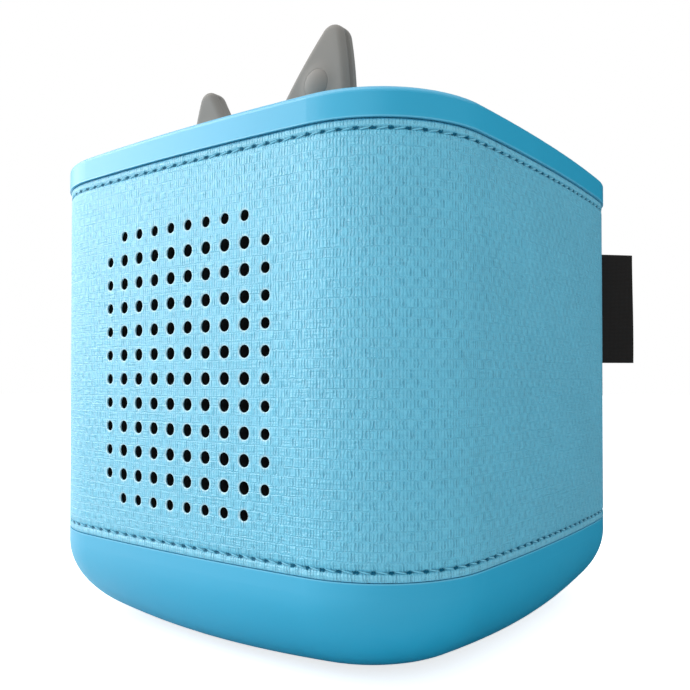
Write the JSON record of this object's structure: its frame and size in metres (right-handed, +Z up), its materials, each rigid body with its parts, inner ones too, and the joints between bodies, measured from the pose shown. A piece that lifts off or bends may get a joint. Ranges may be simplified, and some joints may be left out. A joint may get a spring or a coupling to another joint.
{
  "type": "audio story player",
  "caption": "Child's story player: a rounded fabric-covered cube with a perforated front, two ear-shaped squeeze buttons and a magnetic place for a figure on top.",
  "frame": {"origin": "middle of the base, on the surface the player stands on", "axes": "+Z up, the perforated front faces -Y, the larger ear is towards +X"},
  "size_m": [0.1211, 0.1211, 0.1413],
  "materials": {
    "cap_plastic": "satin moulded ABS",
    "base_plastic": "satin moulded ABS",
    "pad_rubber": "soft-touch elastomer",
    "fabric": "laminated polyester weave",
    "foam": "closed-cell foam liner",
    "acoustic_mesh": "black acoustic cloth",
    "label": "woven black ribbon",
    "ear_rubber": "grey silicone",
    "feet_rubber": "dark rubber",
    "inner_plastic": "plain ABS",
    "dark_plastic": "black glass-filled plastic",
    "clear_plastic": "clear acrylic",
    "board": "green solder mask on glass-epoxy",
    "steel": "zinc-plated",
    "gold": "gold-plated brass",
    "copper": "bare copper",
    "magnet": "nickel-plated magnet",
    "paper": "black paper pulp",
    "cell_wrap": "shrink wrap",
    "lead_jacket": "soft PVC jacket",
    "led": "diffused LED"
  },
  "bodies": {
    "player": {"acoustic_mesh": "acoustic_mesh", "amplifier_chip": "dark_plastic", "base_leads": "lead_jacket", "base_screws": "steel", "battery_cells": "cell_wrap", "battery_lead": "lead_jacket", "battery_strap": "steel", "battery_tray": "inner_plastic", "board_headers": "inner_plastic", "board_screws": "steel", "bottom_shell": "base_plastic", "cap_screws": "steel", "charge_board": "board", "charge_contacts": "gold", "chassis": "inner_plastic", "ear_frame": "inner_plastic", "ear_frame_screws": "steel", "ear_large_board": "board", "ear_large_core": "inner_plastic", "ear_large_skin": "ear_rubber", "ear_large_switch": "dark_plastic", "ear_leads": "lead_jacket", "ear_small_board": "board", "ear_small_core": "inner_plastic", "ear_small_skin": "ear_rubber", "ear_small_switch": "dark_plastic", "fabric_sleeve": "fabric", "figure_magnets": "magnet", "foam_liner": "foam", "headphone_socket": "dark_plastic", "label_tab": "label", "light_pipe": "clear_plastic", "main_board": "board", "memory_chip": "dark_plastic", "processor_chip": "dark_plastic", "radio_shield": "steel", "reader_board": "board", "reader_coil": "copper", "rubber_feet": "feet_rubber", "socket_board": "board", "speaker_basket": "steel", "speaker_gasket": "foam", "speaker_lead": "lead_jacket", "speaker_magnet": "magnet", "speaker_screws": "steel", "speaker_spider": "acoustic_mesh", "speaker_surround": "feet_rubber", "speaker_top_plate": "steel", "speaker_yoke": "steel", "status_led": "led", "strap_screws": "steel", "top_cap": "cap_plastic", "top_pad": "pad_rubber"},
    "ear_large_press": {"ear_large_button": "ear_rubber", "ear_large_plunger": "dark_plastic"},
    "ear_small_press": {"ear_small_button": "ear_rubber", "ear_small_plunger": "dark_plastic"},
    "cone": {"speaker_cone": "paper", "dust_cap": "paper", "speaker_coil": "copper"}
  },
  "joints": [
    {"name": "ear_large_travel", "type": "slide", "parent": "player", "child": "ear_large_press", "axis": [0, 1, 0], "range_m": [0, 0.0006], "stiffness_N_per_m": 2500, "springref_m": -0.0001},
    {"name": "ear_small_travel", "type": "slide", "parent": "player", "child": "ear_small_press", "axis": [0, 1, 0], "range_m": [0, 0.0006], "stiffness_N_per_m": 2500, "springref_m": -0.0001},
    {"name": "cone_travel", "type": "slide", "parent": "player", "child": "cone", "axis": [0, 1, 0], "range_m": [-0.0008, 0.0008], "stiffness_N_per_m": 1500, "deforming": ["speaker_surround", "speaker_spider"]}
  ]
}
